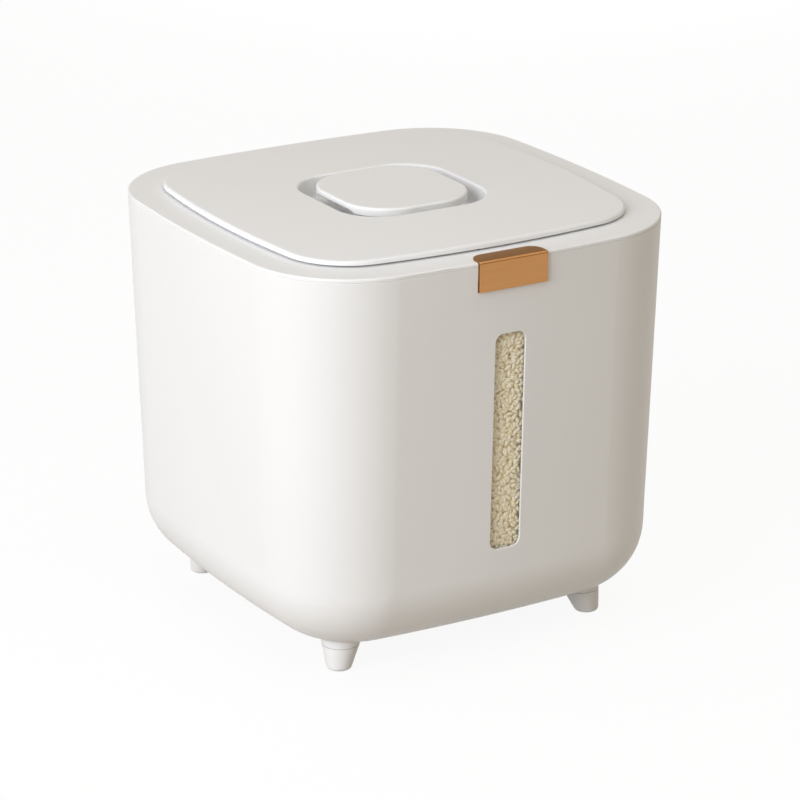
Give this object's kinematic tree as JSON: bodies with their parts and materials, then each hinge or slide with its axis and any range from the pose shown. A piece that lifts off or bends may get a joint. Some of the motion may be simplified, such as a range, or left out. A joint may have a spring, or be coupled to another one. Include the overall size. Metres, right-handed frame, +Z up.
{
  "type": "rice storage bin",
  "caption": "Square white rice bin with bowed sides, rear-hinged lid with a dished grip, press latch in gold at the front, tall window strip and short tapered feet.",
  "frame": {"origin": "on the floor, under the middle of the bin", "axes": "+Z up, -Y towards the front with the window and the button, +X to the right seen from the front"},
  "size_m": [0.26, 0.2613, 0.2486],
  "materials": {
    "white_shell": "satin",
    "white_inner": "satin",
    "gold": "satin",
    "clear_window": "gloss",
    "silicone": "matte",
    "foot_rubber": "matte",
    "steel": "satin",
    "rice": "satin"
  },
  "bodies": {
    "bin": {"body_shell": "white_shell", "rim_collar": "white_shell", "window_pane": "clear_window", "window_gasket": "silicone", "foot_front_left": "white_shell", "foot_front_right": "white_shell", "foot_rear_left": "white_shell", "foot_rear_right": "white_shell", "foot_pads": "foot_rubber", "hinge_pin_left": "steel", "hinge_pin_right": "steel", "latch_housing": "white_inner", "housing_screws": "steel", "latch_leaf": "steel", "leaf_screw": "steel"},
    "lid": {"lid_panel": "white_shell", "lid_liner": "white_inner", "lid_seal": "silicone", "lid_striker": "white_inner", "liner_screws": "steel", "grip_plate": "white_shell", "grip_screws": "steel"},
    "latch_button": {"button_cap": "gold", "button_slider": "white_inner"}
  },
  "joints": [
    {"name": "lid_hinge", "type": "hinge", "parent": "bin", "child": "lid", "pos_m": [0, 0.116, 0.2401], "axis": [-1, 0, 0], "range_deg": [0, 95]},
    {"name": "button_press", "type": "slide", "parent": "bin", "child": "latch_button", "axis": [0, 1, 0], "range_m": [0, 0.0025], "stiffness_N_per_m": 1200, "springref_m": -0.001, "deforming": ["latch_leaf"]}
  ]
}
